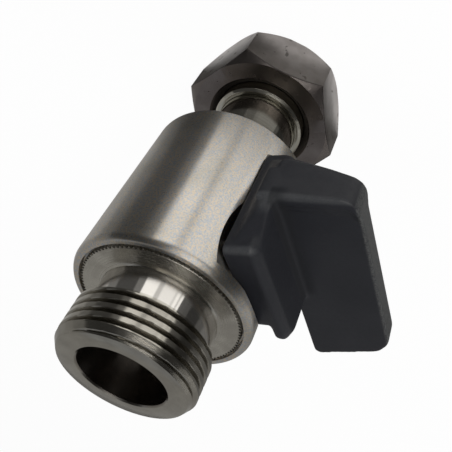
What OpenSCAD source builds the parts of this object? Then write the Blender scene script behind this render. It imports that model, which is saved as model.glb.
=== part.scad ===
// In-line stainless beer tap: a quarter-turn ball valve with a male thread
// at its outlet, a loose union nut at its inlet and a moulded lever.
// Z is the flow line, with zero on the outlet's sealing face and the nut
// below it. X is the stem line, out through the lever. Y lies along the
// lever, which is drawn closed, across the flow.

/* [Outlet connector] */
// Outer diameter of the 3/4 inch pipe thread
thread_d = 26.44; // [25.8:0.01:27]
// Length of the thread, with its run-out to the neck
thread_len = 7.8; // [6:0.1:8.4]
// Outer diameter of the flat sealing face
face_d = 24.1; // [21:0.1:25]
// Length of the cone that leads in to the thread
lead_len = 1.7; // [1:0.1:2.4]
// Diameter of the open mouth of the outlet
mouth_d = 16.7; // [13:0.1:18]
// Depth of the mouth before it narrows to the flow bore
mouth_depth = 14; // [9:0.5:16]
// Diameter of the polished neck behind the thread
neck_d = 22.8; // [21:0.1:24]
// Fillet where the neck meets the flange
neck_fillet = 0.8; // [0.3:0.1:1.2]
// Diameter over the knurl of the flange
flange_d = 31.7; // [29:0.1:32]
// Thickness of the knurled flange
flange_t = 1.6; // [1:0.1:1.8]

/* [Body] */
// Outer diameter of the body
body_d = 35.8; // [35.2:0.1:40]
// Length of the body
body_len = 37.2; // [36.6:0.1:42]
// Distance from the sealing face to the front rim of the body
body_front = 15.2; // [14.4:0.1:17]
// Distance from the front rim of the body to the stem line
stem_back = 18.6; // [18.4:0.1:19]
// Rounding of the front rim
front_chamfer = 0.6; // [0.3:0.05:0.8]
// Edge break round the rear rim
rear_chamfer = 0.3; // [0.1:0.05:0.6]
// Gap round the knurled flange in its counterbore
flange_gap = 0.45; // [0.3:0.05:0.6]
// Diameter of the bore that takes the connector's screwed spigot
spigot_bore = 23.4; // [22:0.1:24.4]
// Height of the milled lever seat above the flow line
seat_h = 14.3; // [14:0.1:15]

/* [Ball and seats] */
// Diameter of the ball
ball_d = 18; // [17.6:0.1:18.4]
// Diameter of the flow bore through ball, seats and tail
bore_d = 10.5; // [8:0.1:11]
// Outer diameter of a seat ring
ring_d = 17; // [16.4:0.1:17.4]
// Distance from the ball's centre to the inner ends of the spigots
spigot_start = 5.7; // [5.5:0.1:6.2]
// Distance from the ball's centre to the back of a seat ring
ring_back = 9.1; // [8.8:0.1:9.6]
// Width of the slot across the top of the ball
slot_w = 4; // [3:0.1:4.5]

/* [Stem] */
// Diameter of the stem where it passes through the body
stem_d = 7; // [6:0.1:7.4]
// Diameter of the shoulder that keeps the stem in
shoulder_d = 9.6; // [9:0.1:10]
// Thickness of the shoulder
shoulder_t = 0.9; // [0.7:0.1:1]
// Thickness of the thrust washer
washer_t = 0.6; // [0.4:0.1:0.7]
// Section of the stem's two sealing rings
stem_ring_section = 0.9; // [0.7:0.05:0.95]
// Width across the square end of the stem
square_w = 4.8; // [4:0.1:4.9]
// Length of the square end inside the lever
square_len = 6; // [4:0.5:6.5]

/* [Lever] */
// Distance from the stem line to the hub's side at the short end
hub_side = 11.3; // [10.6:0.1:11.6]
// Reach of the hub's base from the stem line, towards the outlet
hub_front = 14.1; // [13:0.1:14.4]
// Reach of the hub's base from the stem line, towards the inlet
hub_back = 12.2; // [11.2:0.1:12.3]
// Corner radius of the hub
hub_r = 1.3; // [0.8:0.1:2]
// Radius of the hub's base about the stem, at the side of the long end
hub_reach = 16.1; // [15.8:0.05:16.3]
// Height of the hub over the lever seat
hub_h = 6.7; // [6:0.1:8]
// Distance from the stem line to the hub's overhang at the long end
hub_over = 13.4; // [12:0.1:14]
// Distance from the stem line to the roof of the blade, at its short end
blade_short = 14.4; // [13:0.1:15]
// Fall of the roof from the hub to the blade's outer edge
roof_fall = 1.6; // [0.6:0.1:2.4]
// Distance from the stem line to the long end of the blade
blade_long = 31.3; // [27:0.1:36]
// Distance from the flow line to the blade's inner edge
blade_in = 18.9; // [18.6:0.1:20]
// Distance from the flow line to the blade's outer edge
blade_out = 35.3; // [33:0.1:38]
// Thickness of the blade at its inner edge, over the lip
blade_t = 8.2; // [7:0.1:9]
// Thickness of the blade at its outer edge, over the lip
blade_tip_t = 6.4; // [5.4:0.1:8]
// How far the blade's faces are sunk behind its lip
blade_sink = 0.8; // [0.4:0.1:1.2]
// Height of the lip at the short end of the blade
lip_h = 2.3; // [1.5:0.1:3]

/* [Tail and union nut] */
// Diameter of the tail's neck
tail_d = 19; // [18:0.1:19.2]
// Distance from the rear of the body to the collar
tail_len = 24.4; // [21:0.1:28]
// Thickness of the collar
collar_t = 1.6; // [1.2:0.1:2.2]
// Across flats of the union nut
nut_af = 33.2; // [32:0.1:36]
// Height of the union nut
nut_h = 13.4; // [12.6:0.1:17]
// Thickness of the nut's shoulder
nut_shoulder = 2.6; // [2.4:0.1:3]
// Core diameter of the nut's 3/4 inch pipe thread
nut_core_d = 24.12; // [23.6:0.01:24.6]
// Diameter of the bevel round the nut's near hole
nut_bevel_d = 25.6; // [24.4:0.1:26.4]
// Outer diameter of the slip ring's sleeve
slip_d = 22; // [21:0.1:22.3]
// Height of the slip ring's sleeve above the nut
slip_proud = 1.7; // [1:0.1:2.5]
// Thickness of the flat gasket
gasket_t = 1.5; // [1:0.1:2]

/* [Hidden] */
$fn = 96;

// Named clearances
fit = 0.05;        // running fit between turned pieces
loose = 0.15;      // between the loose pieces of the union
lift = 0.3;        // lever above its seat, and round the stop pin
turn_clear = 0.35; // hub's base to the ends of the lever seat
seat_press = 0.02; // ball to seat ring

// Heights along the flow line
body_top = -body_front;
stem_z = body_top - stem_back;
body_bottom = body_top - body_len;
collar_top = body_bottom - tail_len;
collar_bottom = collar_top - collar_t;

// The slip ring lies on the collar and the nut lies on the slip ring
slip_flange_t = 0.8;
nut_turn = 24;
gasket_in = bore_d / 2 + 1.2;
slip_flange_bottom = collar_top + loose;
slip_flange_top = slip_flange_bottom + slip_flange_t;
nut_top = slip_flange_top + loose + nut_shoulder;
nut_bottom = nut_top - nut_h;
relief_end = collar_bottom - gasket_t - 2 * loose;

body_r = body_d / 2;
counterbore_r = flange_d / 2 + flange_gap;
chamber_r = ball_d / 2 + 0.7;
hub_base = seat_h + lift;
hub_top = hub_base + hub_h;
seat_half = hub_reach + turn_clear;
shoulder_low = ball_d / 2 + 0.15;
shoulder_high = shoulder_low + shoulder_t;
washer_high = shoulder_high + washer_t;
square_start = seat_h + 0.2;
square_end = hub_base + square_len;

// Stop pin, beside the stem, and the shallow hollow that breaks the seat's edge by it
pin_d = 2.4;
pin_y = 6;
pin_z = 7.6;
pin_root = 2.2;
relief_r = 30;
relief_depth = 0.75;
relief_z = 8.3;

// Grooves of the two spigots' sealing rings
groove_in = 2.4;    // from the end of the spigot's seat to the groove's middle
groove_half = 0.8;
groove_depth = 0.9;

// Slot of the ball, and the stem's tang in it
slot_depth = 2.2;
tang_half = 3.6;

module tube(r_out, r_in, z0, z1)
    translate([0, 0, z0])
        difference() {
            cylinder(r = r_out, h = z1 - z0);
            translate([0, 0, -1]) cylinder(r = r_in, h = z1 - z0 + 2);
        }

// A round bar along the stem line, between two heights over the flow line
module across(r, x0, x1)
    translate([x0, 0, stem_z]) rotate([0, 90, 0]) cylinder(r = r, h = x1 - x0);

module o_ring(mean_r, section_r) rotate_extrude() translate([mean_r, 0]) circle(r = section_r, $fn = 24);

module valve_body()
    color("Silver")
        difference() {
            rotate_extrude($fn = 128)
                polygon([
                    [0, body_bottom], [body_r - rear_chamfer, body_bottom], [body_r, body_bottom + rear_chamfer],
                    [body_r, body_top - front_chamfer * 1.6],
                    [body_r - front_chamfer * 0.3, body_top - front_chamfer * 0.6],
                    [body_r - front_chamfer, body_top], [0, body_top]]);
            // counterbore of the knurled flange
            translate([0, 0, body_top - flange_t - fit]) cylinder(r = counterbore_r, h = 5);
            // bore of the connector's spigot, the ball's chamber and the tail's bore
            translate([0, 0, stem_z + spigot_start]) cylinder(r = spigot_bore / 2, h = 40);
            translate([0, 0, stem_z - spigot_start]) cylinder(r = chamber_r, h = 2 * spigot_start + 1);
            translate([0, 0, body_bottom - 1]) cylinder(r = tail_d / 2, h = body_len / 2 + 1);
            // milled lever seat, round behind the stem and straight before it
            across(seat_half, seat_h, body_r + 1);
            translate([seat_h, -body_r, stem_z]) cube([body_r, body_d, hub_front + turn_clear]);
            seat_relief();
            translate([0, pin_y, pin_z]) across(pin_d / 2, seat_h - pin_root, body_r);
            // stem bore and the recess of its shoulder and washer
            across(stem_d / 2 + fit, 0, body_r);
            across(shoulder_d / 2 + fit, 0, washer_high);
        }

// Shallow hollow, milled across the seat's long edge with a wide cutter
module seat_relief()
    intersection() {
        translate([seat_h - relief_depth + relief_r, pin_y - pin_d, stem_z + relief_z])
            rotate([-90, 0, 0]) cylinder(r = relief_r, h = body_r);
        translate([0, 0, stem_z]) cube([body_d, body_d, seat_half]);
    }

module outlet_connector()
    color("Gainsboro")
        rotate_extrude($fn = 128) outlet_profile();

// Half section of the connector, from its sealing face down to its spigot
module outlet_profile() {
    thread_r = thread_d / 2;
    thread_end = -lead_len - thread_len;
    neck_r = neck_d / 2;
    flange_top = body_top + fit;
    spigot_r = spigot_bore / 2 - fit;
    spigot_end = stem_z + spigot_start + fit;
    ring_top = stem_z + ring_back + fit;
    groove_z = body_top - flange_t - groove_in;
    polygon([
        [mouth_d / 2, 0], [face_d / 2, 0], [thread_r, -lead_len],
        [thread_r, thread_end + (thread_r - neck_r) * 0.5],
        [neck_r, thread_end], [neck_r, flange_top + neck_fillet],
        [neck_r + neck_fillet * 0.3, flange_top + neck_fillet * 0.3],
        [neck_r + neck_fillet, flange_top], [flange_d / 2, flange_top],
        [flange_d / 2, body_top - flange_t], [spigot_r, body_top - flange_t],
        [spigot_r, groove_z + groove_half], [spigot_r - groove_depth, groove_z + groove_half],
        [spigot_r - groove_depth, groove_z - groove_half], [spigot_r, groove_z - groove_half],
        [spigot_r, spigot_end],
        [ring_d / 2 + fit, spigot_end], [ring_d / 2 + fit, ring_top], [bore_d / 2, ring_top],
        [bore_d / 2, -mouth_depth - (mouth_d - bore_d) / 2], [mouth_d / 2, -mouth_depth]]);
}

module tailpiece()
    color("LightGray")
        rotate_extrude($fn = 128) tail_profile();

// Half section of the tail, from its spigot down to the collar and nose. The
// spigot is no wider than the neck, so nut and slip ring go on from that end.
module tail_profile() {
    tail_r = tail_d / 2;
    spigot_r = tail_r - fit;
    spigot_end = stem_z - spigot_start - fit;
    ring_low = stem_z - ring_back - fit;
    collar_r = nut_core_d / 2 - loose;
    groove_z = body_bottom + groove_in;
    polygon([
        [ring_d / 2 + fit, spigot_end], [spigot_r, spigot_end], [spigot_r, groove_z + groove_half],
        [spigot_r - groove_depth, groove_z + groove_half], [spigot_r - groove_depth, groove_z - groove_half],
        [spigot_r, groove_z - groove_half], [spigot_r, body_bottom], [tail_r, body_bottom], [tail_r, collar_top], [collar_r, collar_top],
        [collar_r, collar_bottom], [gasket_in, collar_bottom], [gasket_in, collar_bottom - gasket_t + 0.2],
        [bore_d / 2, collar_bottom - gasket_t + 0.2], [bore_d / 2, ring_low], [ring_d / 2 + fit, ring_low]]);
}

module slip_ring()
    color("WhiteSmoke")
        rotate_extrude($fn = 96) {
            r_in = tail_d / 2 + 0.08;
            r_out = slip_d / 2;
            top = nut_top + slip_proud;
            polygon([
                [r_in, slip_flange_bottom], [nut_core_d / 2 - loose * 2, slip_flange_bottom],
                [nut_core_d / 2 - loose * 2, slip_flange_top], [r_out, slip_flange_top], [r_out, top - 0.5],
                [r_out - 0.5, top], [r_in, top]]);
        }

module union_nut()
    color("RosyBrown")
        difference() {
            intersection() {
                translate([0, 0, nut_bottom])
                    rotate([0, 0, nut_turn]) cylinder(r = nut_af / sqrt(3), h = nut_h, $fn = 6);
                // both ends are turned, the far one with the larger chamfer
                rotate_extrude($fn = 96)
                    polygon([
                        [0, nut_bottom], [nut_af / 2 + 0.1, nut_bottom], [nut_af / sqrt(3) + 0.1, nut_bottom + 3.6],
                        [nut_af / sqrt(3) + 0.1, nut_top - 1.9], [nut_af / 2 + 0.1, nut_top], [0, nut_top]]);
            }
            hole_r = slip_d / 2 + loose;
            bevel = nut_bevel_d / 2 - hole_r;
            translate([0, 0, nut_bottom - 1]) cylinder(r = nut_core_d / 2, h = nut_h - nut_shoulder + 1);
            // relief behind the thread, as deep as the thread, round ring, collar and gasket
            translate([0, 0, relief_end])
                cylinder(r = nut_core_d / 2 + 1.3, h = nut_top - nut_shoulder - relief_end);
            translate([0, 0, nut_bottom - 1]) cylinder(r = hole_r, h = nut_h + 2);
            translate([0, 0, nut_top - bevel]) cylinder(r1 = hole_r, r2 = hole_r + bevel + 0.01, h = bevel + 0.01);
            translate([0, 0, nut_bottom - 0.01])
                cylinder(r1 = nut_core_d / 2 + 1.2, r2 = nut_core_d / 2, h = 1.2);
        }

module union_gasket()
    color("Tan")
        tube(nut_core_d / 2 - loose, gasket_in + fit, collar_bottom - gasket_t, collar_bottom);

module ball()
    color("White")
        translate([0, 0, stem_z])
            difference() {
                sphere(r = ball_d / 2, $fn = 96);
                rotate([90, 0, 0]) cylinder(r = bore_d / 2, h = ball_d + 2, center = true);
                translate([ball_d / 2 - slot_depth, -slot_w / 2, -ball_d / 2]) cube([5, slot_w, ball_d]);
            }

// One seat ring above the ball, hollowed to the ball's own curve
module seat_ring()
    difference() {
        tube(ring_d / 2, bore_d / 2, spigot_start - 0.8, ring_back);
        sphere(r = ball_d / 2 + seat_press, $fn = 96);
    }

module seat_front() color("Ivory") translate([0, 0, stem_z]) seat_ring();

module seat_rear() color("Ivory") translate([0, 0, stem_z]) mirror([0, 0, 1]) seat_ring();

module connector_o_ring()
    color("DimGray") translate([0, 0, body_top - flange_t - groove_in]) o_ring(spigot_bore / 2 - 0.5, 0.42);

module tail_o_ring()
    color("DimGray") translate([0, 0, body_bottom + groove_in]) o_ring(tail_d / 2 - 0.5, 0.42);

module stem()
    color("LightSteelBlue")
        difference() {
            union() {
                // tang that fills the ball's slot
                translate([ball_d / 2 - slot_depth + 0.1, fit - slot_w / 2, stem_z - tang_half])
                    cube([3, slot_w - 2 * fit, 2 * tang_half]);
                across(shoulder_d / 2, shoulder_low, shoulder_high);
                across(stem_d / 2, shoulder_low, square_start);
                translate([square_start, -square_w / 2, stem_z - square_w / 2])
                    cube([square_end - square_start, square_w, square_w]);
            }
            for (x = ring_places) ring_groove(x);
        }

// Two grooves share the stem's length between the washer and the seat
ring_places = [washer_high + (seat_h - washer_high) * 0.27, washer_high + (seat_h - washer_high) * 0.73];

module ring_groove(x)
    translate([x, 0, stem_z])
        rotate([0, 90, 0])
            difference() {
                cylinder(r = stem_d, h = stem_ring_section + 0.1, center = true);
                cylinder(r = stem_d / 2 - stem_ring_section + 0.05, h = 3, center = true);
            }

module stem_thrust_washer()
    color("Ivory")
        difference() {
            across(shoulder_d / 2 - fit, shoulder_high, washer_high);
            across(stem_d / 2 + fit, 0, body_r);
        }

module stem_ring(x)
    translate([x, 0, stem_z])
        rotate([0, 90, 0]) o_ring(stem_d / 2 - stem_ring_section / 2 + 0.05, stem_ring_section / 2 - 0.02);

module stem_o_ring_lower() color("DimGray") stem_ring(ring_places[0]);

module stem_o_ring_upper() color("DimGray") stem_ring(ring_places[1]);

module stop_pin()
    color("SlateGray")
        translate([0, pin_y, pin_z]) across(pin_d / 2 - fit / 2, seat_h - pin_root, hub_base + 1.6);

module lever()
    color("DimGray")
        difference() {
            union() {
                lever_hub();
                lever_blade();
            }
            // square socket of the stem
            translate([hub_base - 1, -square_w / 2 - fit, stem_z - square_w / 2 - fit])
                cube([square_len + 1 + fit, square_w + 2 * fit, square_w + 2 * fit]);
            // quarter groove that the stop pin runs in
            stop_groove();
        }

// Plan of the hub at one height. Seen from outside, the outlet is to the left.
module hub_plan(front, back, side, low) {
    low_r = 2 * hub_r;
    hull() {
        for (x = [hub_r - front, back - hub_r]) translate([x, side - hub_r]) circle(r = hub_r, $fn = 48);
        for (x = [low_r - front, back - low_r]) translate([x, low + low_r]) circle(r = low_r, $fn = 48);
    }
}

// The hub's base turns inside the milled seat, so it is round where it passes the
// body's front wall. Above the body's own radius the hub widens past the seat.
module lever_hub() {
    over = body_r + lift;
    translate([0, 0, stem_z])
        rotate([0, 90, 0]) {
            translate([0, 0, hub_base])
                linear_extrude(height = over - hub_base + 0.5)
                    intersection() {
                        hub_plan(hub_front, hub_back, hub_side, -hub_reach);
                        union() {
                            circle(r = hub_reach, $fn = 120);
                            translate([-2 * hub_reach, 0]) square([4 * hub_reach, hub_reach]);
                        }
                    }
            hull() {
                translate([0, 0, over])
                    linear_extrude(height = 0.5) hub_plan(hub_front, hub_back, hub_side, -hub_over);
                translate([0, 0, hub_top - 1.5])
                    linear_extrude(height = 0.2) hub_plan(hub_front + 0.2, hub_back - 0.8, hub_side + 0.2, -hub_over);
                translate([0, 0, hub_top - 0.2])
                    linear_extrude(height = 0.2) hub_plan(hub_front - 1, hub_back - 2, hub_side - 1, 1.2 - hub_over);
            }
        }
}

// Points of a rounded corner, from one heading to the next
function corner(x, y, r, a0, a1) =
    [for (i = [0 : 6]) let (a = a0 + (a1 - a0) * i / 6) [x + r * cos(a), y + r * sin(a)]];

// Outline of the blade, seen along the flow: short end up, long end down. Its
// long end and its roof both fall back a little towards the outer edge.
module blade_outline() {
    r_in = 1.5;
    r_low = 5;
    r_high = 3.6;
    polygon(concat(
        corner(blade_in + r_in, -blade_long + r_in + 0.1, r_in, 180, 262),
        corner(blade_out - r_low, -blade_long + 1.8 + r_low, r_low, 278, 360),
        corner(blade_out - r_high, blade_short - roof_fall - r_high, r_high, 0, 83),
        [[hub_top - 1.8, blade_short], [hub_base + 3.6, blade_short],
        [hub_base + 3.6, -hub_side + 1], [blade_in, -hub_side - 5.4]]));
}

// A wedge between the blade's two faces, thinner towards its outer edge
module between_faces(sunk) {
    root = blade_t / 2 - sunk;
    tip = blade_tip_t / 2 - sunk;
    reach = blade_long + blade_short;
    translate([0, reach, 0])
        rotate([90, 0, 0])
            linear_extrude(height = 2 * reach)
                polygon([[hub_base, -root], [blade_out + 1, -tip], [blade_out + 1, tip], [hub_base, root]]);
}

// The blade's faces are sunk behind a lip that runs along its roof
module lever_blade()
    translate([0, 0, stem_z]) {
        intersection() {
            linear_extrude(height = 2 * blade_t, center = true) blade_outline();
            between_faces(blade_sink);
        }
        intersection() {
            linear_extrude(height = 2 * blade_t, center = true)
                difference() {
                    blade_outline();
                    translate([0, -lip_h]) blade_outline();
                    translate([0, -blade_long])
                        square([blade_out + 1, blade_long + blade_short - roof_fall - 2 * lip_h]);
                }
            between_faces(0);
        }
    }

// Quarter groove in the hub's base. The lever turns from +Y towards -Z, so the
// pin, seen from the lever, goes round from its place at rest by a quarter.
module stop_groove() {
    reach = norm([pin_y, pin_z]);
    half = pin_d / 2 + lift;
    at = atan2(pin_z, pin_y);
    depth = 2.2;
    translate([hub_base + depth, 0, stem_z])
        rotate([at, 0, 0]) rotate([0, -90, 0])
            union() {
                intersection() {
                    difference() {
                        cylinder(r = reach + half, h = depth + 1);
                        translate([0, 0, -1]) cylinder(r = reach - half, h = depth + 3);
                    }
                    translate([0, 0, -1]) cube([40, 40, depth + 3]);
                }
                for (a = [0, -90]) rotate([0, 0, a]) translate([0, reach, 0]) cylinder(r = half, h = depth + 1);
            }
}

valve_body();
outlet_connector();
tailpiece();
slip_ring();
union_nut();
union_gasket();
ball();
seat_front();
seat_rear();
connector_o_ring();
tail_o_ring();
stem();
stem_thrust_washer();
stem_o_ring_lower();
stem_o_ring_upper();
stop_pin();
lever();
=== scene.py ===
import math

import bmesh
import bpy
from mathutils import Matrix, Vector


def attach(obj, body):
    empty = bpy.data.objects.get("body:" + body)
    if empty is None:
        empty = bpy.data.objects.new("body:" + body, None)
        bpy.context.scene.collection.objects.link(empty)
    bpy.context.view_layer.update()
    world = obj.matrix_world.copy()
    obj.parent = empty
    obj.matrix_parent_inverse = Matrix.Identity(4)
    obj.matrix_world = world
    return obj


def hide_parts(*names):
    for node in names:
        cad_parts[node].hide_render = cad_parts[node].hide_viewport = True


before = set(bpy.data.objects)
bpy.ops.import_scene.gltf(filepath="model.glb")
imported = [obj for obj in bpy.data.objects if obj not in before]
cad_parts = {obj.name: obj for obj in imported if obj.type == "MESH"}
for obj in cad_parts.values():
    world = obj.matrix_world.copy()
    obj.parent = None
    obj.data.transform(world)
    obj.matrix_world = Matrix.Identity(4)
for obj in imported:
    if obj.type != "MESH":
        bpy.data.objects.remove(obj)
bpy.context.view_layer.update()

# Valve body: a stainless bar turned to a plain cylinder, counterbored at its
# front for the connector's knurled flange, and milled flat for the lever.
# Everything in the tap is measured in millimetres and built round the Z axis.
body_front, body_back, body_radius = -15.2, -52.4, 17.9
stem_line = -33.8
counterbore, counterbore_depth, front_bore, rear_bore = 16.3, 1.65, 11.7, 9.5
ball_room, ball_room_half = 9.7, 5.7
seat_height, seat_radius, seat_front = 14.3, 16.45, 14.45
hollow_radius, hollow_depth, hollow_at, hollow_side = 30.0, 0.75, 8.3, 3.6
pin_y, pin_z, pin_radius, pin_depth = 6.0, 7.6, 1.2, 2.2
stem_hole, gland, gland_height, inside_height, clear_height = 3.55, 4.85, 10.65, 5, 20
to_metres = Matrix.Scale(0.001, 4)
sharp_angle, edge_angle, speck = math.radians(32), math.radians(50), 0.002


def finished(name, mesh_or_bmesh, slot, body, *nodes):
    """Puts a mesh drawn in millimetres into the scene as one piece of the tap."""
    if isinstance(mesh_or_bmesh, bmesh.types.BMesh):
        mesh = bpy.data.meshes.new(name)
        mesh_or_bmesh.to_mesh(mesh)
        mesh_or_bmesh.free()
    else:
        mesh = mesh_or_bmesh
    mesh.transform(to_metres)
    mesh.shade_smooth()
    mesh.set_sharp_from_angle(angle=sharp_angle)
    mesh.update()
    piece = bpy.data.objects.new(name, mesh)
    bpy.context.scene.collection.objects.link(piece)
    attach(piece, body)
    if nodes:
        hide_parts(*nodes)
    return piece


def turned(outline, steps=256, radius_at=None):
    """A closed turned solid from (radius, height) pairs that go round its half section."""
    b = bmesh.new()
    rings = []
    for r, z in outline:
        if r == 0:
            rings.append([b.verts.new((0, 0, z))])
            continue
        ring = []
        for i in range(steps):
            a = 2 * math.pi * i / steps
            rr = radius_at(r, z, a) if radius_at else r
            ring.append(b.verts.new((rr * math.cos(a), rr * math.sin(a), z)))
        rings.append(ring)
    pairs = list(zip(rings, rings[1:]))
    if outline[0][0] != 0:
        pairs.append((rings[-1], rings[0]))
    for low, high in pairs:
        for i in range(steps):
            j = (i + 1) % steps
            if len(low) == 1:
                b.faces.new((low[0], high[j], high[i]))
            elif len(high) == 1:
                b.faces.new((low[i], low[j], high[0]))
            else:
                b.faces.new((low[i], low[j], high[j], high[i]))
    bmesh.ops.recalc_face_normals(b, faces=b.faces)
    return b


def rounded(outline, radii, steps=4):
    """The same half section with its corners rounded by one radius, or each by its own."""
    out = []
    n = len(outline)
    for i, (r, z) in enumerate(outline):
        size = radii[i] if isinstance(radii, list) else radii
        p, a, c = Vector((r, z)), Vector(outline[i - 1]), Vector(outline[(i + 1) % n])
        if size == 0:
            out.append((r, z))
            continue
        u, v = (a - p), (c - p)
        size = min(size, u.length * 0.45, v.length * 0.45)
        u.normalize()
        v.normalize()
        start, end = p + u * size, p + v * size
        for k in range(steps + 1):
            t = k / steps
            q = start * (1 - t) ** 2 + p * 2 * t * (1 - t) + end * t ** 2
            out.append((q.x, q.y))
    return out


def hull_of(points):
    """The smallest bulging solid that holds all of the points."""
    b = bmesh.new()
    for p in points:
        b.verts.new(p)
    made = bmesh.ops.convex_hull(b, input=b.verts)
    inner = made["geom_interior"] + made["geom_unused"]
    spare = {g for g in inner if isinstance(g, bmesh.types.BMVert)}
    bmesh.ops.delete(b, geom=list(spare), context="VERTS")
    bmesh.ops.recalc_face_normals(b, faces=b.faces)
    return b


def arc(cx, cy, r, a0, a1, steps=8):
    """Points round a circle's centre, from one heading to the next in degrees."""
    angles = [math.radians(a0 + (a1 - a0) * i / steps) for i in range(steps + 1)]
    return [(cx + r * math.cos(a), cy + r * math.sin(a)) for a in angles]


def across(radius, x0, x1, y=0.0, z=0.0, steps=128):
    """A round bar along the stem, between two heights over the flow line."""
    b = turned([(0, x0), (radius, x0), (radius, x1), (0, x1)], steps)
    bmesh.ops.rotate(b, matrix=Matrix.Rotation(math.pi / 2, 3, "Y"), verts=b.verts)
    bmesh.ops.translate(b, vec=(0, y, stem_line + z), verts=b.verts)
    return b


def slab(low_points, high_points):
    """A closed solid between two outlines that have the same number of points."""
    b = bmesh.new()
    low, high = [[b.verts.new(p) for p in points] for points in (low_points, high_points)]
    n = len(low)
    for i in range(n):
        b.faces.new((low[i], low[(i + 1) % n], high[(i + 1) % n], high[i]))
    b.faces.new(low[::-1])
    b.faces.new(high)
    bmesh.ops.recalc_face_normals(b, faces=b.faces)
    return b


def plate(outline, x0, x1):
    """A slab drawn round the stem, between two heights over the flow line."""
    return slab(*[[(x, y, stem_line + z) for y, z in outline] for x in (x0, x1)])


def discard(ob):
    """Takes an object and its mesh off the bench."""
    spent = ob.data
    bpy.data.objects.remove(ob)
    bpy.data.meshes.remove(spent)


def evaluated(ob):
    """The object's mesh with its modifiers worked out, and the object taken away."""
    bpy.context.view_layer.update()
    graph = bpy.context.evaluated_depsgraph_get()
    mesh = bpy.data.meshes.new_from_object(ob.evaluated_get(graph))
    discard(ob)
    return mesh


def blank(shape):
    """A shape on the bench, ready for modifiers."""
    mesh = bpy.data.meshes.new("blank")
    shape.to_mesh(mesh)
    shape.free()
    ob = bpy.data.objects.new("blank", mesh)
    bpy.context.scene.collection.objects.link(ob)
    return ob


def machined(base, cuts=(), kept=(), edge=0.0):
    """The base less every cut and inside every form kept, its sharp edges broken by a width."""
    target = blank(base)
    tools = []
    for operation, shapes in (("DIFFERENCE", cuts), ("INTERSECT", kept)):
        for shape in shapes:
            tools.append(blank(shape))
            step = target.modifiers.new("cut", "BOOLEAN")
            step.operation, step.solver, step.object = operation, "EXACT", tools[-1]
    if edge:
        step = target.modifiers.new("edge", "BEVEL")
        step.width, step.segments, step.limit_method = edge, 3, "ANGLE"
        step.angle_limit = edge_angle
    mesh = evaluated(target)
    for tool in tools:
        discard(tool)
    b = bmesh.new()
    b.from_mesh(mesh)
    bmesh.ops.dissolve_degenerate(b, dist=speck, edges=b.edges)
    b.to_mesh(mesh)
    b.free()
    return mesh


class Wire:
    """A value in a material's nodes, so that a pattern can be written as a sum."""

    def __init__(self, tree, socket):
        self.tree, self.socket = tree, socket

    def node(self, kind, inputs=(), out=0, **settings):
        made = self.tree.nodes.new("ShaderNode" + kind)
        for key, value in settings.items():
            setattr(made, key, value)
        for key, value in dict(inputs).items():
            if isinstance(value, Wire):
                self.tree.links.new(value.socket, made.inputs[key])
            else:
                made.inputs[key].default_value = value
        return Wire(self.tree, made.outputs[out])

    def math(self, what, *values):
        return self.node("Math", dict(enumerate(values)), operation=what)

    def __add__(self, other): return self.math("ADD", self, other)
    def __radd__(self, other): return self.math("ADD", other, self)
    def __sub__(self, other): return self.math("SUBTRACT", self, other)
    def __rsub__(self, other): return self.math("SUBTRACT", other, self)
    def __mul__(self, other): return self.math("MULTIPLY", self, other)
    def __rmul__(self, other): return self.math("MULTIPLY", other, self)
    def __truediv__(self, other): return self.math("DIVIDE", self, other)
    def __rtruediv__(self, other): return self.math("DIVIDE", other, self)

    def most(self, other): return self.math("MAXIMUM", self, other)

    def ramp(self, low, high):
        """Nought below one value, one above the other, and smooth between."""
        return self.node("MapRange", {"Value": self, "From Min": low, "From Max": high},
                         interpolation_type="SMOOTHSTEP")

    def noise(self, scale, detail=2.0, rough=0.5):
        return self.node("TexNoise", {"Vector": self, "Scale": scale, "Detail": detail,
                                      "Roughness": rough})

    def blend(self, first, second):
        """A mix of two colours by this value."""
        return self.node("Mix", {0: self, 6: first, 7: second}, out=2, data_type="RGBA")

    def xyz(self):
        parts = self.tree.nodes.new("ShaderNodeSeparateXYZ")
        self.tree.links.new(self.socket, parts.inputs[0])
        return [Wire(self.tree, o) for o in parts.outputs]


def finish_of(name, **constants):
    """A new material, its shader, and the object's own coordinates in it."""
    material = bpy.data.materials.new(name)
    material.use_nodes = True
    tree = material.node_tree
    shader = tree.nodes["Principled BSDF"]
    for key, value in constants.items():
        shader.inputs[key.replace("_", " ")].default_value = value
    place = Wire(tree, tree.nodes.new("ShaderNodeTexCoord").outputs["Object"])
    return material, shader, place


def coat(material, shader, **values):
    for key, value in values.items():
        material.node_tree.links.new(value.socket, shader.inputs[key.replace("_", " ")])


def bumped(height, strength, distance):
    return height.node("Bump", {"Height": height, "Strength": strength, "Distance": distance})


def round_the_axis(place):
    """Direction round the flow line, the distance from it and the height along it."""
    x, y, z = place.xyz()
    square = x * x + y * y
    radius = square.math("SQRT", square).most(0.0005)
    return x / radius, y / radius, radius, z


def turning_marks(place, around, along):
    """Noise drawn out into rings, as a lathe tool leaves them."""
    cx, cy, radius, z = round_the_axis(place)
    spun = place.node("CombineXYZ", {0: cx * around, 1: cy * around,
                                     2: (z + radius) * along})
    return spun.noise(1.0, 2.0, 0.6)


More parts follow.
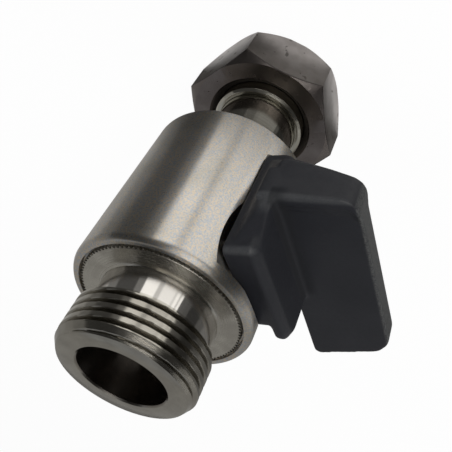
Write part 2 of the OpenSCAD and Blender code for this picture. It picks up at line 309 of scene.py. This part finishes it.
body_steel, shader, place = finish_of("body_steel", Metallic=1.0, Anisotropic=0.8,
                                      Anisotropic_Rotation=0.25)
marks = turning_marks(place, 1.2, 9000)
broad = turning_marks(place, 0.6, 900)
grain = place.noise(3600, 3.0, 0.65)
tint = place.noise(3000, 2.0, 0.5)
cloud = place.noise(90, 2.0)
colour = (grain * 0.6 + cloud * 0.4).ramp(0.35, 0.65)
colour = colour.blend((0.38, 0.365, 0.32, 1), (0.70, 0.68, 0.60, 1))
sheen = tint.ramp(0.36, 0.64).blend((0.41, 0.47, 0.57, 1), (0.71, 0.59, 0.45, 1))
coat(body_steel, shader, Base_Color=(cloud.ramp(0.2, 0.7) * 0.5 + 0.3).blend(colour, sheen),
     Roughness=marks * 0.10 + grain * 0.10 + 0.20,
     Normal=bumped(marks + broad * 0.5 + grain * 0.5, 0.30, 0.00002))

body_outline = rounded([
    (front_bore, body_front - counterbore_depth), (counterbore, body_front - counterbore_depth),
    (counterbore, body_front), (body_radius - 0.6, body_front), (body_radius, body_front - 0.9),
    (body_radius, body_back), (rear_bore, body_back), (rear_bore, stem_line - ball_room_half),
    (ball_room, stem_line - ball_room_half), (ball_room, stem_line + ball_room_half),
    (front_bore, stem_line + ball_room_half)],
    [0, 0.1, 0.12, 0.35, 0.6, 0.35, 0.2, 0.1, 0.1, 0.1, 0.1])
crown = math.degrees(math.asin(seat_front / seat_radius))
seat_outline = (arc(0, 0, seat_radius, 180, 360, 64) + [(seat_radius, seat_front)]
                + arc(0, 0, seat_radius, crown, 180 - crown, 20) + [(-seat_radius, seat_front)])
hollow_arc = arc(seat_height - hollow_depth + hollow_radius, stem_line + hollow_at,
                 hollow_radius, 140, 220, 96)
hollow = [(x, z) for x, z in hollow_arc if stem_line < z < stem_line + seat_radius]
hollow += [(clear_height + 2, hollow[0][1]), (clear_height + 2, hollow[-1][1])]
valve_body = finished("valve_body_turned", machined(
    turned(body_outline),
    cuts=[
        plate(seat_outline, seat_height, clear_height),
        hull_of([(x, y, z) for x, z in hollow for y in (hollow_side, clear_height)]),
        across(pin_radius, seat_height - pin_depth, clear_height, pin_y, pin_z),
        across(stem_hole, inside_height, clear_height),
        across(gland, inside_height, gland_height)]), "body_steel", "body", "valve_body")
valve_body.data.materials.append(body_steel)

# Outlet connector: turned from bar with a flat sealing face and a pipe thread
# cut by a single point tool. Its flange was gripped to screw it into the body,
# so the flange's edge has a straight knurl all round.
thread_radius, thread_root, pitch = 13.22, 12.06, 1.814
root_width, flank_width, crest_softness = 0.04, 0.46, 0.35
lead, lead_radius, thread_end, run_out, run_out_rise = 1.7, 12.05, -9.5, 1.0, 1.9
neck, neck_top, neck_low = 11.4, -9.6, -14.2
mouth, mouth_low, bore, cone_low = 8.35, -14.0, 5.25, -17.1
screwed, screwed_end, seat_room, seat_shelf = 11.65, -28.05, 8.55, -24.65
flange_radius, flange_top, flange_low = 15.85, -15.15, -16.8
knurl_depth, knurl_count, knurl_sink = 0.45, 108, 0.02


def thread_outline(r, z, a):
    """Radius over the thread at a height and an angle: a right-hand helix of rounded vees."""
    if r > 0:
        return r
    turn = (z / pitch - a / (2 * math.pi)) % 1.0
    vee = abs(turn - 0.5) * 2
    height = min(1.0, max(0.0, (vee - root_width) / flank_width))
    curved = height * height * (3 - 2 * height)
    height = curved * crest_softness + height * (1 - crest_softness)
    radius = thread_root + (thread_radius - thread_root) * height
    radius = min(radius, lead_radius + (thread_radius - lead_radius) * min(1.0, -z / lead))
    back = (z - thread_end) / run_out
    return min(radius, neck + max(0.0, back) * run_out_rise) if back < 1 else radius


thread_rows = 116
flange_root = flange_radius - knurl_depth
connector_outline = (
    [(mouth, -0.3), (mouth + 0.3, 0), (lead_radius - 0.1, 0), (lead_radius, -0.06)]
    + [(-1, -0.1 - (-thread_end - 0.1) * i / thread_rows) for i in range(thread_rows + 1)]
    + [(neck, neck_top), (neck, neck_low), (11.55, -14.75), (11.9, -15.02), (12.4, -15.12),
       (flange_root - 0.08, flange_top), (flange_root, flange_top - 0.08),
       (flange_root, flange_low), (screwed, flange_low), (screwed, screwed_end),
       (seat_room, screwed_end), (seat_room, seat_shelf), (bore, seat_shelf), (bore, cone_low),
       (mouth, mouth_low)])
connector = finished("outlet_connector_threaded", turned(connector_outline, 288, thread_outline),
                     "body_steel", "body", "outlet_connector")

connector_steel, shader, place = finish_of("connector_steel", Metallic=1.0, Anisotropic=0.7,
                                           Anisotropic_Rotation=0.25)
marks = turning_marks(place, 1.0, 7000)
broad = turning_marks(place, 0.5, 700)
stain = place.noise(260, 3.0)
colour = (stain * 0.7 + broad * 0.3).ramp(0.35, 0.65)
colour = colour.blend((0.42, 0.40, 0.36, 1), (0.55, 0.53, 0.48, 1))
radius, z = round_the_axis(place)[2:]
# The threaded length is darker overall and a little rougher.
threaded_length = z.ramp(-0.0096, -0.0094)
# Inside the mouth and bore the colour is painted darker: painted shade in the hollow.
mouth_painted_shade = radius.ramp(0.0087, 0.0084)
gripped_face = z.ramp(-0.0148, -0.0150)
polished_neck = z.ramp(-0.0098, -0.0101) * z.ramp(-0.0146, -0.0143)
colour = polished_neck.blend(colour, (0.66, 0.64, 0.61, 1))
colour = (threaded_length * 0.38).blend(colour, (0.20, 0.185, 0.155, 1))
colour = (mouth_painted_shade * 0.55).blend(colour, (0.13, 0.105, 0.095, 1))
coat(connector_steel, shader, Base_Color=colour,
     Roughness=marks * 0.06 + stain * 0.06 + 0.05 + gripped_face * 0.16 + threaded_length * 0.07,
     Normal=bumped(marks + broad * 0.5, 0.13, 0.00002))
connector.data.materials.append(connector_steel)


def grown(tree_name, nodes, sizes, material):
    """A plain mesh from a tree of geometry nodes whose sizes are its named inputs."""
    tree = bpy.data.node_groups.new(tree_name, "GeometryNodeTree")
    tree.interface.new_socket("Geometry", in_out="OUTPUT", socket_type="NodeSocketGeometry")
    sockets = {}
    for name, value in sizes.items():
        kind = "NodeSocketInt" if isinstance(value, int) else "NodeSocketFloat"
        sockets[name] = tree.interface.new_socket(name, in_out="INPUT", socket_type=kind).identifier
    given = tree.nodes.new("NodeGroupInput")
    shape = nodes(tree, given)
    real = tree.nodes.new("GeometryNodeRealizeInstances")
    coated = tree.nodes.new("GeometryNodeSetMaterial")
    coated.inputs["Material"].default_value = material
    tree.links.new(shape, real.inputs[0])
    tree.links.new(real.outputs[0], coated.inputs[0])
    tree.links.new(coated.outputs[0], tree.nodes.new("NodeGroupOutput").inputs[0])
    ob = bpy.data.objects.new(tree_name, bpy.data.meshes.new(tree_name))
    bpy.context.scene.collection.objects.link(ob)
    step = ob.modifiers.new(tree_name, "NODES")
    step.node_group = tree
    for name, value in sizes.items():
        step[sockets[name]] = value
    return evaluated(ob)


def knurl_ribs(tree, given):
    """Three-sided ribs that stand in a ring, each with one edge pointing outwards."""
    ring = tree.nodes.new("GeometryNodeMeshCircle")
    rib = tree.nodes.new("GeometryNodeMeshCylinder")
    rib.inputs["Vertices"].default_value = 3
    index = tree.nodes.new("GeometryNodeInputIndex")
    share = tree.nodes.new("ShaderNodeMath")
    share.operation = "DIVIDE"
    turn = tree.nodes.new("ShaderNodeMath")
    turn.operation = "MULTIPLY"
    turn.inputs[1].default_value = 2 * math.pi
    heading = tree.nodes.new("ShaderNodeCombineXYZ")
    stand = tree.nodes.new("GeometryNodeInstanceOnPoints")
    moved = tree.nodes.new("GeometryNodeTransform")
    middle = tree.nodes.new("ShaderNodeCombineXYZ")
    link = tree.links.new
    link(given.outputs["Ribs"], ring.inputs["Vertices"])
    link(given.outputs["Root radius"], ring.inputs["Radius"])
    link(given.outputs["Rib size"], rib.inputs["Radius"])
    link(given.outputs["Rib length"], rib.inputs["Depth"])
    link(index.outputs[0], share.inputs[0])
    link(given.outputs["Ribs"], share.inputs[1])
    link(share.outputs[0], turn.inputs[0])
    link(turn.outputs[0], heading.inputs["Z"])
    link(ring.outputs["Mesh"], stand.inputs["Points"])
    link(rib.outputs["Mesh"], stand.inputs["Instance"])
    link(heading.outputs[0], stand.inputs["Rotation"])
    link(given.outputs["Middle height"], middle.inputs["Z"])
    link(stand.outputs[0], moved.inputs["Geometry"])
    link(middle.outputs[0], moved.inputs["Translation"])
    return moved.outputs[0]


knurl = grown("flange_knurl", knurl_ribs, {
    "Ribs": knurl_count, "Root radius": flange_root - knurl_sink, "Rib size": knurl_depth,
    "Rib length": flange_top - flange_low - 0.2,
    "Middle height": (flange_top + flange_low) / 2}, connector_steel)
finished("flange_knurl", knurl, "body_steel", "body")

# Tail: a polished neck with a collar that holds the nut on, and a nose that
# carries the flat gasket. It is screwed into the body after nut and slip ring.
collar, collar_end, collar_radius = -76.8, -78.4, 11.91
tail_front, tail_shelf, tail_neck, tail_core = -39.55, -42.95, 9.5, 9.45
nose, nose_end = 6.45, -79.7
tail_outline = rounded([
    (seat_room, tail_front), (tail_core, tail_front), (tail_core, body_back),
    (tail_neck, body_back), (tail_neck, collar), (collar_radius, collar),
    (collar_radius, collar_end), (nose, collar_end), (nose, nose_end), (bore, nose_end),
    (bore, tail_shelf), (seat_room, tail_shelf)], 0.15)
tail = finished("tailpiece_polished", turned(tail_outline), "polished_steel", "body", "tailpiece")

polished_steel, shader, place = finish_of("polished_steel", Metallic=1.0, Anisotropic=0.5,
                                          Anisotropic_Rotation=0.25)
marks = turning_marks(place, 0.8, 5000)
broad = turning_marks(place, 0.4, 500)
colour = broad.ramp(0.3, 0.7).blend((0.46, 0.44, 0.38, 1), (0.60, 0.58, 0.52, 1))
coat(polished_steel, shader, Base_Color=colour, Roughness=marks * 0.06 + 0.08,
     Normal=bumped(marks + broad * 0.8, 0.12, 0.00002))
tail.data.materials.append(polished_steel)

# Slip ring: a turned ring that lies on the collar and bears the nut's shoulder.
# It is loose, so it slides up the neck as far as the body lets it.
ring_hole, ring_foot, ring_side, ring_top = 9.58, 11.76, 11.0, -71.4
ring_outline = rounded([
    (ring_hole, collar + 0.15), (ring_foot, collar + 0.15), (ring_foot, collar + 0.95),
    (ring_side, collar + 0.95), (ring_side, ring_top - 0.55), (ring_side - 0.55, ring_top),
    (ring_hole, ring_top)], 0.12)
slip_ring = finished("slip_ring_turned", turned(ring_outline), "polished_steel",
                     "slip_ring", "slip_ring")
slip_ring.data.materials.append(polished_steel)

# Union nut: a hot-forged and turned hexagon, blasted and left a little pitted,
# with both ends faced and a pipe thread inside that ends in a relief.
nut_top, nut_bottom, flats, nut_turn = -73.1, -86.5, 33.2, 24.0
hole, nut_relief, nut_thread_top, nut_lead = 11.15, 13.36, -80.2, 1.2
crest_width, groove_flank = 0.12, 0.7
nut_mouth, sink_radius, sink_depth, shoulder_depth = 13.26, 12.8, 1.65, 2.6
bevel_low, bevel_high, bevel_spare, broken_edge = 3.6, 1.9, 0.1, 0.18
half, corner = flats / 2, flats / math.sqrt(3)
corners = arc(0, 0, corner, nut_turn, nut_turn + 300, 5)
hexagon = hull_of([(x, y, z) for x, y in corners for z in (nut_bottom, nut_top)])
nut_blank = turned([(0, nut_bottom), (half + bevel_spare, nut_bottom),
                    (corner + bevel_spare, nut_bottom + bevel_low),
                    (corner + bevel_spare, nut_top - bevel_high),
                    (half + bevel_spare, nut_top), (0, nut_top)])


def nut_thread(r, z, a):
    """Radius of the nut's inside over its thread, whose grooves match the outlet's ribs."""
    if r > 0:
        return r
    turn = (z / pitch - a / (2 * math.pi)) % 1.0
    depth = min(1.0, max(0.0, (1 - abs(turn - 0.5) * 2 - crest_width) / groove_flank))
    return thread_root + (thread_radius - thread_root) * depth


thread_low = nut_bottom + nut_lead
nut_rows = 36
nut_inside = turned(
    [(0, nut_bottom - 1), (nut_mouth, nut_bottom - 1), (nut_mouth, nut_bottom),
     (nut_mouth - 0.02, nut_bottom + 0.05)]
    + [(-1, thread_low + (nut_thread_top - thread_low) * i / nut_rows)
       for i in range(nut_rows + 1)]
    + [(nut_relief, nut_thread_top + 0.02), (nut_relief, nut_top - shoulder_depth),
       (hole, nut_top - shoulder_depth), (hole, nut_top - sink_depth), (sink_radius, nut_top),
       (sink_radius, nut_top + 1), (0, nut_top + 1)], 192, nut_thread)
nut_form = bmesh.new()
nut_form.from_mesh(machined(hexagon, kept=[nut_blank], edge=broken_edge))
nut = machined(nut_form, cuts=[nut_inside])
union_nut = finished("union_nut_forged", nut, "nut_steel", "union_nut", "union_nut")

nut_steel, shader, place = finish_of("nut_steel", Metallic=1.0)
fine = place.noise(2600, 3.0, 0.7)
cloud = place.noise(160, 3.0)
pit = (place.noise(520, 1.0) * 0.7 + place.noise(1500, 2.0) * 0.3).ramp(0.375, 0.32)
colour = cloud.ramp(0.3, 0.7).blend((0.21, 0.19, 0.178, 1), (0.32, 0.295, 0.28, 1))
colour = (pit * 0.6).blend(colour, (0.07, 0.06, 0.055, 1))
radius, z = round_the_axis(place)[2:]
# Inside the hole and thread the colour is painted darker: painted shade in the bore.
colour = (radius.ramp(0.01295, 0.0126) * 0.8).blend(colour, (0.03, 0.026, 0.024, 1))
end_face = nut_top / 1000
# The top face and chamfer are turned, so they are smoother and less bumpy there. Their colour is
# also painted darker, as a painted dark reflection.
turned_chamfer_and_dark_reflection = (z + (radius - half / 1000).most(0) * 0.74).ramp(end_face - 0.0005, end_face - 0.0003)
colour = (turned_chamfer_and_dark_reflection * 0.45).blend(colour, (0.12, 0.10, 0.10, 1))
coat(nut_steel, shader, Base_Color=colour,
     Roughness=fine * 0.15 + pit * 0.2 + 0.38 - turned_chamfer_and_dark_reflection * 0.22,
     Normal=bumped((fine * 0.7 - pit * 1.5) * (1 - turned_chamfer_and_dark_reflection * 0.75), 0.40, 0.00004))
union_nut.data.materials.append(nut_steel)

# Lever: one piece of black glass-filled nylon, moulded with a matt grain. The
# hub is pressed on the stem's square and the blade stands across it. The hub's
# base is round where it passes the body, and the blade carries a lip on its roof.
hub_low, hub_over, hub_high, hub_reach, hub_round = 14.6, 18.2, 21.3, 16.1, 1.3
blade_in, blade_out, blade_low, blade_high, roof_fall = 18.9, 35.3, -31.3, 14.4, 1.6
blade_sink, lip_height, lip_fillet, roof_round, tip_round, toe_round = 0.8, 2.3, 1.3, 3.6, 5, 1.5
half_thick, blade_taper = 4.1, 0.9
skin_size, soft_share, soft_rounds = 0.23, 0.5, 22


def hub_plan(x, front, back, side, low):
    """Outline of the hub at one height over the flow line."""
    r, big = hub_round, 2 * hub_round
    around = (arc(side - r, front - r, r, 0, 90) + arc(low + big, front - big, big, 90, 180)
              + arc(low + big, big - back, big, 180, 270) + arc(side - r, r - back, r, 270, 360))
    return [(x, y, stem_line + z) for y, z in around]


def prism(outline, half_at):
    """A slab whose faces stand off the middle by a distance that depends on x."""
    return slab(*[[(x, y, stem_line + side * half_at(x)) for x, y in outline] for side in (-1, 1)])


def blade_half(sunk):
    """Half the blade's thickness as a function of x: it thins towards its outer edge."""
    return lambda x: half_thick - (x - hub_low) * blade_taper / (blade_out + 1 - hub_low) - sunk


roof = (arc(blade_out - roof_round, blade_high - roof_fall - roof_round, roof_round, 0, 83)
        + [(19.5, blade_high), (hub_over, blade_high)])
blade_edge = (arc(blade_in + toe_round, blade_low + 1.6, toe_round, 180, 262)
              + arc(blade_out - tip_round, blade_low + 6.8, tip_round, 278, 360)
              + roof + [(hub_over, -10.3), (blade_in, -16.7)])
lip_end = blade_high - roof_fall - 2 * lip_height
under_roof = [(x, y - lip_height) for x, y in roof[::-1] if y - lip_height > lip_end]
lip_edge = [(blade_out, lip_end)] + roof + under_roof + [(blade_out - 0.24, lip_end)]
fillet_edge = ([(blade_out, lip_end - 1)] + roof + [(x, y - lip_fillet) for x, y in under_roof]
               + [(blade_out - 0.4, lip_end - 1)])
# The hub's side swells up to the roof, and both of its faces run out into the blade's.
shoulder = [
    (16.0, 11.0, -20.8), (15.6, 10.8, -44.4), (21.0, 10.2, -20.6), (20.4, 10.4, -43.9),
    (21.4, 13.2, -27.6), (21.4, 13.9, -29.8), (20.6, 14.35, -30.4), (20.6, 14.35, -39.2),
    (19.2, 13.8, -31.0), (19.2, 13.8, -38.8), (21.4, 13.6, -40.6), (21.4, 10.6, -31.5),
    (21.6, 12.8, -30.9), (17.6, 12.8, -30.5), (17.6, 12.6, -40.0)]
rear_web = [
    (20.0, 14.2, -40.2), (21.0, -10.0, -42.0), (20.6, 10.6, -43.4), (22.9, 13.3, -40.7),
    (25.0, 13.2, -39.8), (27.2, 13.1, -38.8), (30.1, 13.0, -37.9), (23.4, -9.0, -39.0),
    (27.5, 8.0, -37.0), (20.0, 14.2, -33.8), (20.0, -10.0, -33.8), (33.6, 12.4, -34.0),
    (33.6, 12.3, -36.9), (23.0, 14.3, -39.0), (27.0, 14.0, -38.0)]
room_plan = (arc(0, 0, hub_reach, 180, 360, 60) + [(30, -hub_reach), (30, hub_reach)]
             + arc(0, 0, hub_reach, 90, 180, 60) + arc(0, 0, hub_reach, -90, 0, 60))
turning_room = hull_of([(x, y, stem_line + z) for x in (10, 25) for y, z in room_plan])
hub_foot = (14.1, 12.2, 11.3)
base_mesh = machined(hull_of(hub_plan(hub_low, *hub_foot, -hub_reach)
                             + hub_plan(hub_over + 0.5, *hub_foot, -hub_reach)),
                     kept=[turning_room])
lever_parts = [
    hull_of(hub_plan(hub_over, *hub_foot, -13.4) + hub_plan(19.9, 14.3, 11.4, 11.5, -13.4)
            + hub_plan(hub_high, 13.1, 10.2, 10.3, -12.2)),
    prism(blade_edge, blade_half(blade_sink)),
    prism(lip_edge, blade_half(0.0)),
    prism(fillet_edge, blade_half(blade_sink * 0.5)),
    hull_of(shoulder),
    hull_of(rear_web),
]
joined = bmesh.new()
joined.from_mesh(base_mesh)
for part in lever_parts:
    part_mesh = bpy.data.meshes.new("part")
    part.to_mesh(part_mesh)
    part.free()
    joined.from_mesh(part_mesh)
    bpy.data.meshes.remove(part_mesh)
bpy.data.meshes.remove(base_mesh)
form = blank(joined)
step = form.modifiers.new("skin", "REMESH")
step.mode, step.voxel_size = "VOXEL", skin_size
step = form.modifiers.new("soften", "SMOOTH")
step.factor, step.iterations = soft_share, soft_rounds
lever = finished("lever_moulded", evaluated(form), "black_plastic", "lever", "lever")

black_plastic, shader, place = finish_of("black_plastic", Metallic=0.0, Specular_IOR_Level=0.25)
fine = place.noise(3200, 3.0, 0.7)
coarse = place.noise(1100, 2.0)
cloud = place.noise(60, 3.0)
colour = (cloud * 0.5 + fine * 0.5).ramp(0.3, 0.7)
colour = colour.blend((0.0088, 0.0094, 0.0126, 1), (0.0155, 0.0162, 0.0198, 1))
x, y, z = place.xyz()
# The outer end face is painted lighter in a speckle: a painted sheen where it catches the light.
painted_end_sheen = x.ramp(0.0345, 0.0350) * fine.ramp(0.35, 0.6)
# Along the roof's front ridge and the hub's top edge the colour is lightened: painted highlights.
roof_ridge_highlight = (y + x * 0.127).ramp(0.0154, 0.0163) * z.ramp(-0.0314, -0.0304)
hub_ridge_highlight = y.ramp(0.0098, 0.0108) * z.ramp(-0.0212, -0.0202)
colour = (painted_end_sheen * 0.6).blend(colour, (0.075, 0.077, 0.074, 1))
colour = (roof_ridge_highlight.most(hub_ridge_highlight) * (fine * 0.4 + 0.08)).blend(colour, (0.085, 0.088, 0.090, 1))
# The valley where the blade meets the hub is painted darker, as painted shade in the crease, and is
# also rougher there.
foot_shade_band = x.ramp(0.0204, 0.0210) * x.ramp(0.0243, 0.0220) * y.ramp(-0.0126, -0.0104)
painted_foot_shade = foot_shade_band * z.ramp(-0.0328, -0.0316) * z.ramp(-0.0278, -0.0290)
colour = (painted_foot_shade * 0.5).blend(colour, (0.004, 0.0045, 0.006, 1))
coat(black_plastic, shader, Base_Color=colour,
     Roughness=coarse * 0.14 + fine * 0.12 + 0.36 + painted_foot_shade * 0.35,
     Normal=bumped(fine + coarse * 0.6, 0.30, 0.00005))
lever.data.materials.append(black_plastic)

# Inner pieces: the ball and stem of stainless steel, seats and washer of
# white fluoropolymer, and rings and gasket of black rubber or pale fibre.
def soft_finish(name, dark, light, scale, rough, rough_step, relief):
    """A dull material whose colour wanders between two shades."""
    material, shader, place = finish_of(name, Metallic=0.0)
    cloud = place.noise(scale, 3.0)
    coat(material, shader, Base_Color=cloud.blend(dark, light),
         Roughness=cloud * rough_step + rough, Normal=bumped(cloud, relief, 0.00003))
    return material


white_seat = soft_finish("white_seat", (0.78, 0.77, 0.73, 1), (0.86, 0.85, 0.82, 1),
                         500, 0.40, 0.1, 0.1)
black_rubber = soft_finish("black_rubber", (0.012, 0.012, 0.012, 1), (0.022, 0.022, 0.021, 1),
                           900, 0.45, 0.15, 0.15)
for names, material in (
        (("ball", "stem", "stop_pin"), polished_steel),
        (("seat_front", "seat_rear", "stem_thrust_washer", "union_gasket"), white_seat),
        (("connector_o_ring", "tail_o_ring", "stem_o_ring_lower", "stem_o_ring_upper"),
         black_rubber)):
    for name in names:
        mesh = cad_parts[name].data
        mesh.materials.clear()
        mesh.materials.append(material)

# Studio: a white floor under the nut, a white world, and soft lamps. Round the
# tap lie grey and bright cards, under a dark lid, that only polished faces see.
# The camera stands where the photograph's did and is rolled as it was.


def staged(name, mesh):
    """Puts a mesh drawn in millimetres into the scene as part of the studio."""
    mesh.transform(to_metres)
    ob = bpy.data.objects.new(name, mesh)
    bpy.context.scene.collection.objects.link(ob)
    return ob


def cleared(owner):
    """The node tree of a material or a world, with nothing in it."""
    owner.use_nodes = True
    owner.node_tree.nodes.clear()
    return owner.node_tree


floor_half, floor_top, floor_low = 900, -86.6, -90
floor_mesh = bpy.data.meshes.new("floor")
b = hull_of([(x, y, z) for x in (-floor_half, floor_half) for y in (-floor_half, floor_half)
             for z in (floor_low, floor_top)])
b.to_mesh(floor_mesh)
b.free()
staged("floor", floor_mesh)
paper = bpy.data.materials.new("paper")
tree = cleared(paper)
out = tree.nodes.new("ShaderNodeOutputMaterial")
rays = tree.nodes.new("ShaderNodeLightPath")
seen = Wire(tree, rays.outputs["Is Camera Ray"]).most(Wire(tree, rays.outputs["Is Glossy Ray"]))
seen = seen.most(Wire(tree, rays.outputs["Is Transmission Ray"]))
plain = seen.node("BsdfDiffuse", {"Color": (0.8, 0.8, 0.8, 1)})
bright = seen.node("Emission", {"Color": (1, 1, 1, 1), "Strength": 1.0})
shown = seen.node("MixShader", {0: 0.95, 1: plain, 2: bright})
both = seen.node("MixShader", {0: seen, 1: plain, 2: shown})
tree.links.new(both.socket, out.inputs[0])
floor_mesh.materials.append(paper)

# Cards by heading in degrees: from, to, then the grey nearest to the tap, two
# greys further out and the grey of the wall.
card_list = [
    (-180, -130, 0.32, 0.46, 0.46, 0.33), (-130, -104, 0.30, 0.30, 0.12, 0.33),
    (-104, -40, 0.16, 0.35, 0.17, 0.32), (-40, -22, 0.06, 0.38, 0.10, 0.20),
    (-22, 3, 0.03, 0.40, 0.04, 0.05), (3, 12, 0.10, 0.45, 0.10, 0.04),
    (12, 22, 0.24, 1.30, 0.12, 0.08), (22, 26, 0.24, 1.40, 1.30, 0.08),
    (26, 29, 0.24, 0.90, 0.80, 0.08), (29, 34, 0.24, 1.45, 1.35, 0.08),
    (34, 38, 0.24, 0.95, 0.95, 0.08), (38, 60, 0.24, 1.10, 1.20, 0.08),
    (60, 68, 0.20, 0.75, 0.75, 0.08), (68, 91, 0.12, 1.25, 1.35, 0.08),
    (91, 104, 0.06, 0.22, 0.22, 0.05), (104, 140, 0.05, 0.10, 0.08, 0.05),
    (140, 160, 0.10, 0.22, 0.20, 0.24), (160, 180, 0.24, 0.42, 0.42, 0.33)]
card_height, wall_radius, wall_top, card_step = -86.2, 300, 260, 6
card_rows = [(21, card_height), (50, card_height), (92, card_height),
             (wall_radius, card_height), (wall_radius, wall_top)]
lid_height, lid_inner, lid_grey = 262, 100, 0.03
b = bmesh.new()
shade = b.faces.layers.float.new("shade")
for a0, a1, *greys in card_list:
    steps = max(1, round((a1 - a0) / card_step))
    for i in range(steps):
        edge0, edge1 = [[b.verts.new((r * math.cos(a), r * math.sin(a), z)) for r, z in card_rows]
                        for a in [math.radians(a0 + (a1 - a0) * k / steps) for k in (i, i + 1)]]
        for k, grey in enumerate(greys):
            b.faces.new((edge0[k], edge1[k], edge1[k + 1], edge0[k + 1]))[shade] = grey
lid = arc(0, 0, lid_inner, -60, 150, 35) + arc(0, 0, wall_radius, 150, -60, 35)
b.faces.new([b.verts.new((x, y, lid_height)) for x, y in lid])[shade] = lid_grey
card_mesh = bpy.data.meshes.new("cards")
b.to_mesh(card_mesh)
b.free()
cards = staged("cards", card_mesh)
cards.visible_camera = cards.visible_diffuse = cards.visible_shadow = False
cards.visible_transmission = cards.visible_volume_scatter = False
card = bpy.data.materials.new("card")
tree = cleared(card)
grey = tree.nodes.new("ShaderNodeAttribute")
grey.attribute_name = "shade"
grey = Wire(tree, grey.outputs["Fac"])
lit = grey.node("Emission", {"Color": (1.0, 0.985, 0.95, 1), "Strength": grey})
tree.links.new(lit.socket, tree.nodes.new("ShaderNodeOutputMaterial").inputs[0])
card_mesh.materials.append(card)

world = bpy.data.worlds.new("studio")
bpy.context.scene.world = world
tree = cleared(world)
out = tree.nodes.new("ShaderNodeOutputWorld")
rays = tree.nodes.new("ShaderNodeLightPath")
seen = Wire(tree, rays.outputs["Is Camera Ray"])
seen = seen.most(Wire(tree, rays.outputs["Is Transmission Ray"]))
shown = seen.node("Background", {"Color": (1, 1, 1, 1), "Strength": 1.0})
dim = seen.node("Background", {"Color": (0.95, 0.97, 1, 1), "Strength": 0.35})
both = seen.node("MixShader", {0: seen, 1: dim, 2: shown})
tree.links.new(both.socket, out.inputs[0])


def lamp(name, place, target, size, power, colour=(1, 1, 1), glossy=True):
    """A soft oblong lamp that looks at a target, and is mirrored in polished faces or not."""
    data = bpy.data.lights.new(name, "AREA")
    data.shape, data.size, data.size_y = "RECTANGLE", size[0], size[1]
    data.energy, data.color = power, colour
    ob = bpy.data.objects.new(name, data)
    ob.location = place
    ob.rotation_euler = (Vector(target) - Vector(place)).to_track_quat("-Z", "Y").to_euler()
    ob.visible_glossy = glossy
    bpy.context.scene.collection.objects.link(ob)


middle = (0.0, 0.0, -0.04)
lamp("key", (0.28, 0.28, 0.36), middle, (0.30, 0.30), 2.3, (1.0, 0.98, 0.94))
lamp("fill", (-0.35, 0.30, 0.15), middle, (0.35, 0.35), 0.7, (0.94, 0.97, 1.0), glossy=False)
lamp("rim", (0.35, -0.30, 0.10), middle, (0.25, 0.35), 1.0)

eye = bpy.data.cameras.new("photograph")
eye.lens, eye.sensor_width, eye.clip_start = 47.18, 36.0, 0.005
camera = bpy.data.objects.new("photograph", eye)
stand = (0.05991, 0.07351, 0.03948)
right, up, back = (0.8886, -0.2993, -0.3476), (-0.0220, 0.7291, -0.6840), (0.4582, 0.6155, 0.6413)
camera.matrix_world = (Matrix.Translation(stand)
                       @ Matrix((right, up, back)).transposed().to_4x4())
bpy.context.scene.collection.objects.link(camera)
bpy.context.scene.camera = camera
bpy.context.scene.view_settings.view_transform = "Standard"

bpy.context.view_layer.update()
